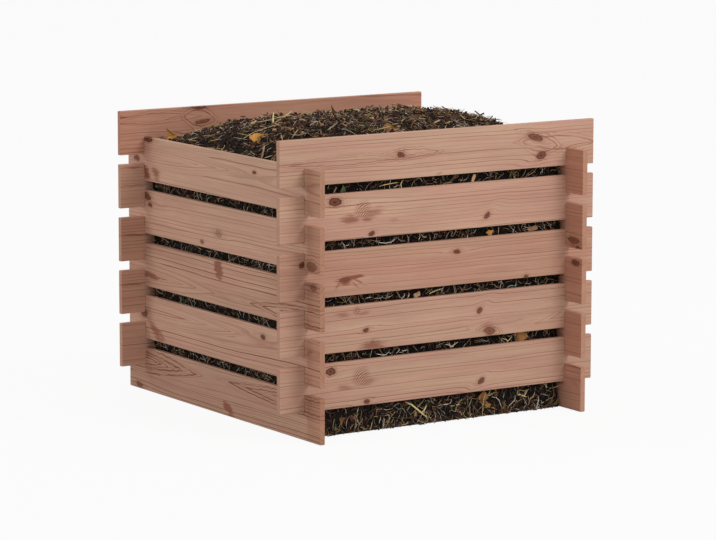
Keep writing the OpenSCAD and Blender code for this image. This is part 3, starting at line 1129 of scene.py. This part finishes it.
def soil_material(settings):
    """Ripe garden compost: nearly black when damp, crumbly, matt, with drier brown grains on the crumbs."""
    material = new_material("Ripe garden compost")
    tree = material.node_tree
    here = add_node(tree, "ShaderNodeTexCoord").outputs["Object"]
    # Damp patches, crumbs and grains
    patch_cell, crumb_cell, grain_cell = 40 * MM, 9 * MM, 5 * MM
    patches = add_node(tree, "ShaderNodeTexNoise", {"Vector": here, "Scale": 1 / patch_cell, "Detail": 2})
    crumbs = add_node(tree, "ShaderNodeTexNoise", {"Vector": here, "Scale": 1 / crumb_cell, "Detail": 3})
    grains = add_node(tree, "ShaderNodeTexVoronoi", {"Vector": here, "Scale": 1 / grain_cell})
    damp = add_node(tree, "ShaderNodeMapRange", (patches, 0.3, 0.7, 0.35, 1))
    crumbly = add_node(tree, "ShaderNodeMapRange", (crumbs, 0.42, 0.72))
    share = add_node(tree, "ShaderNodeMath", (damp, crumbly), operation="MULTIPLY")
    soil = add_node(tree, "ShaderNodeMix",
                    {SHARE: share, FIRST: rgba(settings.soil_dark), SECOND: rgba(settings.soil_light)},
                    data_type="RGBA").outputs[MIXED]
    # Painted shade: steep faces, which lie behind the boards, are darkened to this share.
    steep_shade = 0.25
    facing = add_node(tree, "ShaderNodeNewGeometry").outputs["True Normal"]
    upward = add_node(tree, "ShaderNodeSeparateXYZ", (facing,)).outputs[2]
    shade_share = add_node(tree, "ShaderNodeMapRange", (upward, 0.2, 0.6, steep_shade, 1)).outputs[0]
    shaded_soil = add_node(tree, "ShaderNodeVectorMath", {0: soil, "Scale": shade_share}, operation="SCALE")
    relief = add_node(tree, "ShaderNodeMath", (grains.outputs["Distance"], -0.6, crumbs),
                      operation="MULTIPLY_ADD")
    bump = add_node(tree, "ShaderNodeBump", {"Height": relief, "Distance": 0.004, "Strength": 0.9})
    shader = add_node(tree, "ShaderNodeBsdfPrincipled",
                      {"Base Color": shaded_soil, "Roughness": 0.92, "Normal": bump, "Specular IOR Level": 0.25})
    add_node(tree, "ShaderNodeOutputMaterial", {"Surface": shader})
    return material


class Finish(NamedTuple):
    """A finish for many small copies: its colours by their tones, the size of its streaks in millimetres,
    how much they differ and how rough it is."""

    name: str
    stops: tuple
    streak: tuple
    contrast: float
    roughness: float


FINISHES = {
    # Soft dark clots, damp ones nearly black and dry ones brown
    "crumbs": Finish("Compost crumbs", (
        (0, "soil_dark"), (0.7, "soil_light"), (1, "shred_brown"),
    ), (3, 3, 3), 0.35, 0.95),
    # Half rotted wood: mostly dark brown and grey, a few pieces still the tan of fresh wood
    "shreds": Finish("Rotting wood shreds", (
        (0, "soil_dark"), (0.45, "shred_dark"), (0.72, "shred_brown"), (0.9, "shred_pale"), (1, "root_pale"),
    ), (14, 1.2, 1.2), 0.25, 0.8),
    # Dark corky flakes with a paler inner side
    "chips": Finish("Bark chips", (
        (0, "shred_dark"), (0.7, "shred_brown"), (1, "shred_pale"),
    ), (8, 3, 3), 0.3, 0.85),
    # Pale yellow stalks with a faint sheen, duller where they rot
    "straw": Finish("Dry straw", (
        (0, "shred_brown"), (0.5, "straw_dull"), (1, "straw_pale"),
    ), (24, 0.8, 0.8), 0.12, 0.5),
    # Tan, bleached or yellow, a few still green
    "strands": Finish("Fine roots and grass", (
        (0, "shred_brown"), (0.35, "shred_pale"), (0.6, "root_pale"), (0.8, "straw_dull"),
        (0.95, "leaf_green"), (1, "leaf_green"),
    ), (20, 0.8, 0.8), 0.15, 0.6),
    # Dark, slightly cracked bark
    "twigs": Finish("Twig bark", (
        (0, "bark"), (1, "shred_brown"),
    ), (6, 1.5, 1.5), 0.3, 0.75),
    # Thin, orange to brown, a few still green, mottled along their veins
    "leaves": Finish("Fallen leaves", (
        (0, "leaf_orange"), (0.35, "leaf_brown"), (0.85, "shred_dark"), (0.93, "leaf_green"),
        (1, "leaf_green"),
    ), (9, 4, 4), 0.25, 0.6),
}


def litter_material(finish, settings):
    """A litter's finish: each copy takes its colour by its own tone, with streaks along its length."""
    material = new_material(finish.name)
    tree = material.node_tree
    tone = add_node(tree, "ShaderNodeAttribute", attribute_name="tone").outputs["Fac"]
    along = add_node(tree, "ShaderNodeAttribute", attribute_name="stock").outputs["Vector"]
    ramp = add_node(tree, "ShaderNodeValToRGB", {"Fac": tone})
    for place, _ in finish.stops[1:-1]:
        ramp.color_ramp.elements.new(place)
    for element, (place, colour) in zip(ramp.color_ramp.elements, finish.stops):
        element.position = place
        element.color = rgba(getattr(settings, colour))
    squeezed = add_node(tree, "ShaderNodeVectorMath", (along, finish.streak), operation="DIVIDE")
    streaks = add_node(tree, "ShaderNodeTexNoise", {"Vector": squeezed, "Scale": 1, "Detail": 2})
    darkest, palest = 1 - finish.contrast, 1 + finish.contrast
    shade = add_node(tree, "ShaderNodeMapRange", (streaks, 0.3, 0.7, darkest, palest)).outputs[0]
    colour = add_node(tree, "ShaderNodeVectorMath", {0: ramp.outputs["Color"], "Scale": shade},
                      operation="SCALE")
    bump = add_node(tree, "ShaderNodeBump", {"Height": streaks, "Distance": 0.0005, "Strength": 0.5})
    shader = add_node(tree, "ShaderNodeBsdfPrincipled",
                      {"Base Color": colour, "Roughness": finish.roughness, "Normal": bump,
                       "Specular IOR Level": 0.3})
    add_node(tree, "ShaderNodeOutputMaterial", {"Surface": shader})
    return material


def drawn_out(name, sides, stations):
    """A slender piece along X. Its end disc is extruded through stations, each (x, y, z, width, height)."""
    bpy.ops.object.select_all(action="DESELECT")
    bpy.ops.mesh.primitive_circle_add(vertices=sides, radius=0.5, fill_type="NGON",
                                      rotation=(0, math.pi / 2, 0))
    piece = start_piece(name)
    bpy.ops.object.mode_set(mode="EDIT")
    bpy.ops.mesh.select_all(action="SELECT")
    at, section = Vector((0, 0, 0)), (1, 1)
    for station, (x, y, z, width, height) in enumerate(stations):
        place = Vector((x, y, z))
        if station:
            bpy.ops.mesh.extrude_region_move(TRANSFORM_OT_translate={"value": place - at})
        else:
            bpy.ops.transform.translate(value=place - at)
        bpy.ops.transform.resize(value=(1, width / section[0], height / section[1]), center_override=place)
        at, section = place, (width, height)
    bpy.ops.mesh.select_all(action="SELECT")
    bpy.ops.mesh.normals_make_consistent(inside=False)
    bpy.ops.object.mode_set(mode="OBJECT")
    return piece


def crumb(seed):
    """A clot of soil: a small ball pushed out of round."""
    bpy.ops.object.select_all(action="DESELECT")
    bpy.ops.mesh.primitive_ico_sphere_add(subdivisions=1, radius=0.5)
    piece = start_piece("crumb")
    bpy.ops.object.mode_set(mode="EDIT")
    bpy.ops.mesh.select_all(action="SELECT")
    bpy.ops.transform.vertex_random(offset=0.16, seed=seed)
    bpy.ops.object.mode_set(mode="OBJECT")
    return piece


def shred(seed):
    """A torn sliver of wood: three-sided, thickest off its middle, with pointed ends."""
    thick = -0.15 + 0.1 * seed
    sway = 0.05 * (1 - seed)
    return drawn_out("shred", 3, (
        (-0.5, 0, 0, 0.25, 0.5), (thick, sway, 0, 1, 1), (0.25, -sway, 0.2, 0.8, 0.8),
        (0.5, sway, 0, 0.15, 0.3),
    ))


def chip(seed):
    """A flake of bark: a slab with its corners knocked about."""
    bpy.ops.object.select_all(action="DESELECT")
    bpy.ops.mesh.primitive_cube_add(size=1)
    piece = start_piece("chip")
    bpy.ops.object.mode_set(mode="EDIT")
    bpy.ops.mesh.select_all(action="SELECT")
    bpy.ops.mesh.bevel(offset=0.12, segments=1)
    bpy.ops.mesh.select_all(action="SELECT")
    bpy.ops.transform.vertex_random(offset=0.1, seed=seed)
    bpy.ops.object.mode_set(mode="OBJECT")
    return piece


def stalk(seed):
    """A straw: an even stalk, kinked once and split at one end."""
    kink = -0.2 + 0.2 * seed
    return drawn_out("stalk", 4, (
        (-0.5, 0, 0, 0.8, 0.8), (kink - 0.1, 0.3, 0.4, 1, 1), (kink, 0.5, 0.7, 1.15, 0.7),
        (0.35, -0.2, 0, 1, 1), (0.5, -0.6, -0.2, 0.5, 0.4),
    ))


def strand(seed):
    """A thin root or blade of grass that wanders from side to side."""
    sway = 0.5 + 0.6 * seed
    return drawn_out("strand", 3, (
        (-0.5, 0, 0, 0.5, 0.5), (-0.28, sway, 0.5, 1, 1), (-0.05, 0.4 * sway, 1, 1, 1),
        (0.2, -sway, 0.3, 0.9, 0.9), (0.38, -0.6 * sway, 0, 0.7, 0.7), (0.5, 0.5, 0.4, 0.3, 0.3),
    ))


def twig(seed):
    """A twig: crooked, tapered, with a swelling at each bud."""
    bud = -0.2 + 0.18 * seed
    return drawn_out("twig", 5, (
        (-0.5, 0, 0, 1.1, 1.1), (bud - 0.05, 0.7, 0.3, 0.9, 0.9), (bud, 0.9, 0.4, 1.3, 1.3),
        (bud + 0.06, 0.7, 0.5, 0.8, 0.8), (0.2, -0.6, 0.9, 0.65, 0.65), (0.5, -0.2, 0.4, 0.3, 0.3),
    ))


def leaf(seed):
    """A leaf: a sheet drawn in to stalk and tip, creased along its rib and curled."""
    widths = (0.12, 0.62, 1, 0.92, 0.6, 0.2, 0.03)
    columns = len(widths) - 1
    curl, crease = (0.18, 0.28, 0.1)[seed % 3], 0.1
    bpy.ops.object.select_all(action="DESELECT")
    bpy.ops.mesh.primitive_grid_add(x_subdivisions=columns, y_subdivisions=2, size=1)
    piece = start_piece("leaf")
    for column, width in enumerate(widths):
        x = column / columns - 0.5
        pick(piece, "VERT", lambda point: abs(point.x - x) < 0.01)
        bpy.ops.transform.resize(value=(1, width, 1), center_override=(x, 0, 0))
        bpy.ops.transform.translate(value=(0, 0, curl * 4 * x * x))
        bpy.ops.object.mode_set(mode="OBJECT")
    pick(piece, "VERT", lambda point: abs(point.y) < 0.01)
    bpy.ops.transform.translate(value=(0, 0, -crease))
    bpy.ops.object.mode_set(mode="OBJECT")
    apply_modifier(piece, "Leaf thickness", "SOLIDIFY", thickness=0.02, offset=0)
    return piece


TEMPLATES = {
    "crumbs": crumb, "shreds": shred, "chips": chip, "straw": stalk, "strands": strand, "twigs": twig,
    "leaves": leaf,
}
VARIANTS = 3


def unit(vectors):
    """Each row at length 1."""
    return vectors / np.linalg.norm(vectors, axis=1, keepdims=True)


def axes_on(normals, heading, tilt, roll):
    """For each copy its own X, Y and Z axes. X lies at a heading on the surface, counted from +X there on
    top and from the right at the sides, and is tilted out of it. The copy is then rolled about X."""
    level_surface = np.abs(normals[:, 2:3]) > 0.7
    side = unit(np.cross(np.where(level_surface, (0, 1.0, 0), (0, 0, 1.0)), normals))
    across = np.cross(normals, side)
    level = np.cos(heading)[:, None] * side + np.sin(heading)[:, None] * across
    x_axis = np.cos(tilt)[:, None] * level + np.sin(tilt)[:, None] * normals
    flat_y = np.cross(normals, level)
    up = np.cross(x_axis, flat_y)
    y_axis = np.cos(roll)[:, None] * flat_y + np.sin(roll)[:, None] * up
    return np.stack((x_axis, y_axis, np.cross(x_axis, y_axis)), axis=2)


def kept_inside(points, low, high):
    """Moves each copy, as a whole, until all its points are inside the box."""
    beyond = np.maximum(points.max(axis=1) - high, 0)
    short = np.maximum(low - points.min(axis=1), 0)
    return points - beyond[:, None, :] + short[:, None, :]


class Bed:
    """The surface that the litter lies on, and the room that it has between the boards."""

    def __init__(self, heap, headroom):
        self.skin = BVHTree.FromObject(heap, bpy.context.evaluated_depsgraph_get())
        low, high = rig.box("compost_fill")
        self.low, self.high = np.array(low), np.array(high) + (0, 0, headroom)
        self.reach = 2 * high.z

    def below(self, x, y):
        """The place of the skin straight below a point, and its normal with the lumps evened out."""
        evening = Vector((0, 0, 1.5))
        place, normal, _, _ = self.skin.ray_cast(Vector((x, y, self.reach)), Vector((0, 0, -1)))
        return place, (normal + evening).normalized()

    def beside(self, wall, along, up):
        """The place of the skin level with a point outside one side, and that side's direction."""
        outward, upward = OUTWARD[wall], Vector((0, 0, 1))
        start = outward * self.reach + upward.cross(outward) * along + upward * up
        place, _, _, _ = self.skin.ray_cast(start, -outward)
        return place, outward


def slots_of(wall):
    """The heights of the middles of the slots between one wall's boards."""
    boxes = [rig.box(f"{wall}_board_{k}") for k in range(1, BOARDS_PER_WALL + 1)]
    return [(below[1].z + above[0].z) / 2 for below, above in zip(boxes, boxes[1:])]


def chosen_for(strewn, where):
    """The placed copies of one kind on top or at the sides, each with its side."""
    return [
        (side, Placed(*row))
        for (kind, side), rows in PLACED.items()
        for row in rows
        if kind == strewn.name and (side == "top") == (where == "top")
    ]


def drawn_at_side(strewn, bed, wall, rng):
    """Random places along one side of the heap and up it."""
    margin, below_rim, gap_top, foot_top, slot_spread = 0.004, 0.03, 0.08, 0.012, 0.007
    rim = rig.box(f"left_board_{BOARDS_PER_WALL}")[1].z - below_rim
    least, most = (bed.low[0] + margin, margin), (bed.high[0] - margin, rim)
    drawn = rng.uniform(least, most, (strewn.at_side, 2))
    # More of it shows in the tall gap over the ground, and some has trickled down to the foot.
    drawn[::5, 1] = rng.uniform(margin, gap_top, len(drawn[::5]))
    drawn[::12, 1] = rng.uniform(0, foot_top, len(drawn[::12]))
    if strewn.name == "strands":
        # Roots grow towards the air, so more of them show level with the slots.
        level = len(drawn[1::3])
        drawn[1::3, 1] = rng.choice(slots_of(wall), level) + rng.normal(0, slot_spread, level)
    return drawn


def spots_for(strewn, bed, where, chosen, rng):
    """Where the copies lie on the heap's skin, and which way it faces there. The placed ones come first."""
    margin = 0.004
    if where == "top":
        drawn = rng.uniform(bed.low[:2] + margin, bed.high[:2] - margin, (strewn.on_top, 2))
        spots = [bed.below(spot.first * MM, spot.second * MM) for _, spot in chosen]
        spots += [bed.below(x, y) for x, y in drawn]
    else:
        spots = [bed.beside(wall, spot.first * MM, spot.second * MM) for wall, spot in chosen]
        for wall in WALLS:
            spots += [bed.beside(wall, along, up) for along, up in drawn_at_side(strewn, bed, wall, rng)]
    # A few lines of sight pass the heap at its rounded corners.
    spots = [spot for spot in spots if spot[0] is not None]
    return np.array([place for place, _ in spots]), np.array([normal for _, normal in spots])


def copies_of(kind, size, bend, tone, axes, centres, lowest, highest):
    """The points and triangles of all copies, with each point's tone and its place on the copy's stock."""
    points, faces, tones, stock, first = [], [], [], [], 0
    # Each copy has its own part of the pattern.
    pattern_shift = 97
    for variant in range(VARIANTS):
        template = TEMPLATES[kind](variant)
        mesh = template.data
        mesh.calc_loop_triangles()
        shape = np.array([v.co for v in mesh.vertices])
        triangles = np.array([t.vertices for t in mesh.loop_triangles])
        mine = np.arange(variant, len(size), VARIANTS)
        local = shape[None] * size[mine][:, None]
        bow = 4 * shape[None, :, 0] ** 2 - 0.5
        local[:, :, 2] += bend[mine][:, None] * size[mine][:, :1] * bow
        local[:, :, 1] += bend[mine[::-1]][:, None] * size[mine][:, :1] * bow
        world = np.einsum("nij,nkj->nki", axes[mine], local) + centres[mine][:, None]
        world = kept_inside(world, lowest[mine], highest[mine])
        points.append(world.reshape(-1, 3))
        offsets = first + np.arange(len(mine)) * len(shape)
        faces.append((triangles[None] + offsets[:, None, None]).reshape(-1, 3))
        tones.append(np.repeat(tone[mine], len(shape)))
        stock.append((local / MM + pattern_shift * tone[mine][:, None, None]).reshape(-1, 3))
        first += len(mine) * len(shape)
        remove(template)
    return [np.concatenate(parts) for parts in (points, faces, tones, stock)]


def strew(strewn, bed, where, finish, rng):
    """Lays all copies of one kind of litter on top of the heap or at its sides, as one mesh."""
    on_top = where == "top"
    chosen = chosen_for(strewn, where)
    places, normals = spots_for(strewn, bed, where, chosen, rng)
    count = len(places)
    size = np.empty((count, 3))
    # Most copies are small.
    smallness, roll_spread = 1.6, 25
    for axis, (least, most) in enumerate((strewn.length, strewn.width, strewn.thickness)):
        size[:, axis] = least + (most - least) * rng.random(count) ** smallness
    heading = rng.uniform(0, 2 * math.pi, count)
    tilt = np.radians(rng.normal(0, strewn.tilt, count))
    roll = np.radians(rng.normal(0, roll_spread, count))
    bend = rng.normal(0, strewn.bend, count)
    # Only the chosen leaves are still bright. Crumbs, shreds and chips behind the boards are darkened as painted
    # shade.
    brown_leaves, damp = (0.35, 0.85), 0.74
    tone = rng.uniform(*brown_leaves, count) if strewn.name == "leaves" else rng.random(count)
    # Painted shade on the litter at the sides, behind the boards
    if not on_top and strewn.name in ("crumbs", "shreds", "chips"):
        tone *= damp
    for row, (_, spot) in enumerate(chosen):
        size[row, :2] = spot.length, spot.width
        if strewn.name == "leaves":
            size[row, 2] = spot.width * (1 if on_top else 0.25)
        heading[row], tilt[row], roll[row] = np.radians((spot.heading, spot.tilt, spot.roll))
        tone[row] = spot.tone
    size *= MM
    loose, chosen_lift = 0.005, 0.009 if on_top else 0.012
    lift = rng.uniform(0.1, 0.9, count) * size[:, 2] + rng.uniform(0, loose, count)
    lift[:len(chosen)] = chosen_lift
    centres = places + normals * lift[:, None]
    # At the foot of the front and the back, under the boards, a little has spilled out over the ground.
    foot, spill_reach, clear = 0.013, 0.012, 0.0004
    spilled = (centres[:, 2] < foot) & (np.abs(normals[:, 1]) > 0.5)
    spill = np.zeros((count, 3))
    spill[:, 1] = rng.uniform(0, spill_reach, count) * spilled
    lowest, highest = bed.low + clear - spill, bed.high - (clear, clear, 0) + spill
    centres += normals * spill[:, 1:2]
    axes = axes_on(normals, heading, tilt, roll)
    points, faces, tones, stock = copies_of(strewn.name, size, bend, tone, axes, centres, lowest, highest)
    piece = mesh_piece(f"compost_{strewn.name}_{'on_top' if on_top else 'at_sides'}", points, faces)
    piece.data.attributes.new("tone", "FLOAT", "POINT").data.foreach_set("value", tones)
    piece.data.attributes.new("stock", "FLOAT_VECTOR", "POINT").data.foreach_set("vector", stock.ravel())
    piece.data.materials.append(finish)
    return piece


def mesh_piece(name, points, triangles):
    """An object from arrays of points and triangles."""
    mesh = bpy.data.meshes.new(name)
    mesh.from_pydata(points, [], triangles)
    mesh.update()
    piece = bpy.data.objects.new(name, mesh)
    bpy.context.scene.collection.objects.link(piece)
    return piece


class COMPOSTER_OT_heap(bpy.types.Operator):
    """Give the heap of compost a crumbly skin inside the frame's plain solid"""

    bl_idname = "composter.heap"
    bl_label = "Heap"
    bl_options = {"REGISTER", "UNDO"}

    def execute(self, context):
        settings = context.scene.composter_compost
        mesh = frame["nodes"]["compost_fill"].data.copy()
        mesh.materials.clear()
        heap = bpy.data.objects.new("compost_heap", mesh)
        context.scene.collection.objects.link(heap)
        select_only(heap)
        bpy.ops.object.mode_set(mode="EDIT")
        bpy.ops.mesh.select_all(action="SELECT")
        bpy.ops.mesh.remove_doubles(threshold=0.0001)
        bpy.ops.object.mode_set(mode="OBJECT")
        apply_modifier(heap, "Even skin", "REMESH", mode="VOXEL", voxel_size=settings.skin)
        free = heap.vertex_groups.new(name="off the ground")
        free.add([v.index for v in heap.data.vertices if v.co.z > settings.skin], 1, "REPLACE")
        for name, kind, cell, depth in (
            ("Hollows between clods", "CLOUDS", 55 * MM, settings.hollows),
            ("Cracks between crumbs", "VORONOI", 20 * MM, settings.clods),
        ):
            texture = bpy.data.textures.new(name, kind)
            texture.noise_scale = cell
            apply_modifier(heap, name, "DISPLACE", texture=texture, strength=-depth, mid_level=0,
                           vertex_group=free.name)
        low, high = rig.box("compost_fill")
        points = np.array([v.co for v in heap.data.vertices])
        heap.data.vertices.foreach_set("co", np.clip(points, low, high).ravel())
        heap.vertex_groups.clear()
        heap.data.update()
        bpy.ops.object.shade_smooth()
        heap.data.materials.append(soil_material(settings))
        ride_as(heap, "compost_fill", "compost")
        return {"FINISHED"}


class COMPOSTER_OT_litter(bpy.types.Operator):
    """Strew crumbs, shreds, chips, straw, twigs and leaves over the heap and its sides"""

    bl_idname = "composter.litter"
    bl_label = "Litter"
    bl_options = {"REGISTER", "UNDO"}

    def execute(self, context):
        settings = context.scene.composter_compost
        heap = bpy.data.objects.get("compost_heap")
        if heap is None:
            raise RuntimeError("make the heap before the litter")
        bed = Bed(heap, settings.headroom)
        rng = np.random.default_rng(LITTER_SEED)
        for strewn in LITTER:
            finish = litter_material(FINISHES[strewn.name], settings)
            for where in ("top", "sides"):
                piece = strew(strewn, bed, where, finish, rng)
                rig.ride(piece, BODY_OF_NODE["compost_fill"])
                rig.slot(piece, "compost")
        return {"FINISHED"}


# Stage

class COMPOSTER_OT_stage(bpy.types.Operator):
    """Set the pale floor, the soft light and the camera"""

    bl_idname = "composter.stage"
    bl_label = "Stage"
    bl_options = {"REGISTER", "UNDO"}

    def execute(self, context):
        settings = context.scene.composter_stage
        scene = context.scene
        scene.view_settings.view_transform = "Standard"
        self.add_world(scene, settings)
        self.add_floor(settings)
        self.add_lamp("key_lamp", (2.6, -6.2, 5.2), 4, settings.key_power)
        self.add_lamp("side_lamp", (-6.5, 3.5, 3.2), 3, settings.side_power)
        self.add_camera(scene, settings)
        return {"FINISHED"}

    @staticmethod
    def seen_directly(tree):
        """1 for rays from the eye and for rays that a shiny or clear surface sends on."""
        rays = add_node(tree, "ShaderNodeLightPath").outputs
        mirrored = add_node(tree, "ShaderNodeMath", (rays["Is Camera Ray"], rays["Is Glossy Ray"]),
                            operation="MAXIMUM")
        return add_node(tree, "ShaderNodeMath", (mirrored, rays["Is Transmission Ray"]), operation="MAXIMUM")

    def add_world(self, scene, settings):
        """A background that looks pale and lights the object evenly."""
        world = bpy.data.worlds.new("Studio")
        scene.world = world
        world.use_nodes = True
        tree = world.node_tree
        tree.nodes.clear()
        white = rgba((1, 1, 1))
        light = add_node(tree, "ShaderNodeBackground", {"Color": white, "Strength": settings.sky_light})
        backdrop = add_node(tree, "ShaderNodeBackground", {"Color": rgba(settings.pale), "Strength": 1})
        mixed = add_node(tree, "ShaderNodeMixShader", (self.seen_directly(tree), light, backdrop))
        add_node(tree, "ShaderNodeOutputWorld", {"Surface": mixed})

    def add_floor(self, settings):
        """A wide floor that looks as pale as the backdrop and still takes a faint shadow."""
        radius, drop, shadow_share, light_grey = 60, 0.0005, 0.05, (0.6, 0.6, 0.6)
        bpy.ops.object.select_all(action="DESELECT")
        bpy.ops.mesh.primitive_circle_add(vertices=64, radius=radius, fill_type="NGON")
        floor = start_piece("studio_floor")
        floor.location.z = -drop
        bpy.ops.object.transform_apply(location=True)
        material = new_material("Matt white studio floor")
        tree = material.node_tree
        glow = [share * (1 - shadow_share) for share in settings.pale]
        shaded = [share * shadow_share for share in settings.pale]
        constant = add_node(tree, "ShaderNodeEmission", {"Color": rgba(glow), "Strength": 1})
        shadowed = add_node(tree, "ShaderNodeBsdfDiffuse", {"Color": rgba(shaded)})
        shown = add_node(tree, "ShaderNodeAddShader", (constant, shadowed))
        bounced = add_node(tree, "ShaderNodeBsdfDiffuse", {"Color": rgba(light_grey)})
        mixed = add_node(tree, "ShaderNodeMixShader", (self.seen_directly(tree), bounced, shown))
        add_node(tree, "ShaderNodeOutputMaterial", {"Surface": mixed})
        floor.data.materials.append(material)
        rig.stage(floor)

    def add_lamp(self, name, place, size, power):
        """A large soft lamp that shines at the middle of the bin."""
        target = Vector((0, 0, 0.4))
        bpy.ops.object.light_add(type="AREA", location=place)
        lamp = bpy.context.object
        lamp.name = name
        lamp.rotation_euler = (target - Vector(place)).to_track_quat("-Z", "Y").to_euler()
        lamp.data.shape = "DISK"
        lamp.data.size = size
        lamp.data.energy = power

    def add_camera(self, scene, settings):
        """The photograph's viewpoint, worked out from the corners of the walls."""
        place = (-5.16474, -7.99407, 1.82908)
        yaw, pitch, roll = 0.57496, -0.1533, 0.00148
        bpy.ops.object.camera_add()
        camera = bpy.context.object
        camera.name = "camera"
        camera.matrix_world = (
            Matrix.Translation(place)
            @ Matrix.Rotation(-yaw, 4, "Z")
            @ Matrix.Rotation(math.pi / 2 + pitch, 4, "X")
            @ Matrix.Rotation(roll, 4, "Z")
        )
        camera.data.lens = settings.lens
        camera.data.sensor_width = 36
        scene.camera = camera


class COMPOSTER_PT_sidebar(bpy.types.Panel):
    """Operators and settings of the composter"""

    bl_idname = "COMPOSTER_PT_sidebar"
    bl_label = "Timber Composter"
    bl_space_type = "VIEW_3D"
    bl_region_type = "UI"
    bl_category = "Composter"

    def draw(self, context):
        for operator, group in (
            (COMPOSTER_OT_stage, context.scene.composter_stage),
            (COMPOSTER_OT_boards, context.scene.composter_boards),
            (COMPOSTER_OT_heap, context.scene.composter_compost),
            (COMPOSTER_OT_litter, None),
        ):
            box = self.layout.box()
            box.operator(operator.bl_idname)
            for name in group.bl_rna.properties.keys() if group else ():
                if name not in ("rna_type", "name"):
                    box.prop(group, name)


CLASSES = (
    BoardSettings,
    CompostSettings,
    StageSettings,
    COMPOSTER_OT_stage,
    COMPOSTER_OT_boards,
    COMPOSTER_OT_heap,
    COMPOSTER_OT_litter,
    COMPOSTER_PT_sidebar,
)


def register():
    for cls in CLASSES:
        bpy.utils.register_class(cls)
    bpy.types.Scene.composter_boards = bpy.props.PointerProperty(type=BoardSettings)
    bpy.types.Scene.composter_compost = bpy.props.PointerProperty(type=CompostSettings)
    bpy.types.Scene.composter_stage = bpy.props.PointerProperty(type=StageSettings)


def unregister():
    del bpy.types.Scene.composter_stage
    del bpy.types.Scene.composter_compost
    del bpy.types.Scene.composter_boards
    for cls in reversed(CLASSES):
        bpy.utils.unregister_class(cls)


def main():
    register()
    bpy.ops.composter.stage()
    bpy.ops.composter.boards()
    bpy.ops.composter.heap()
    bpy.ops.composter.litter()
    sizes = {
        "cad": [list(corner) for corner in FRAME_BOX],
        "visual": [list(corner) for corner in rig.bounds()],
    }
    with open(SIZE_FILE, "w") as out:
        json.dump(sizes, out)


if __name__ == "__main__":
    main()
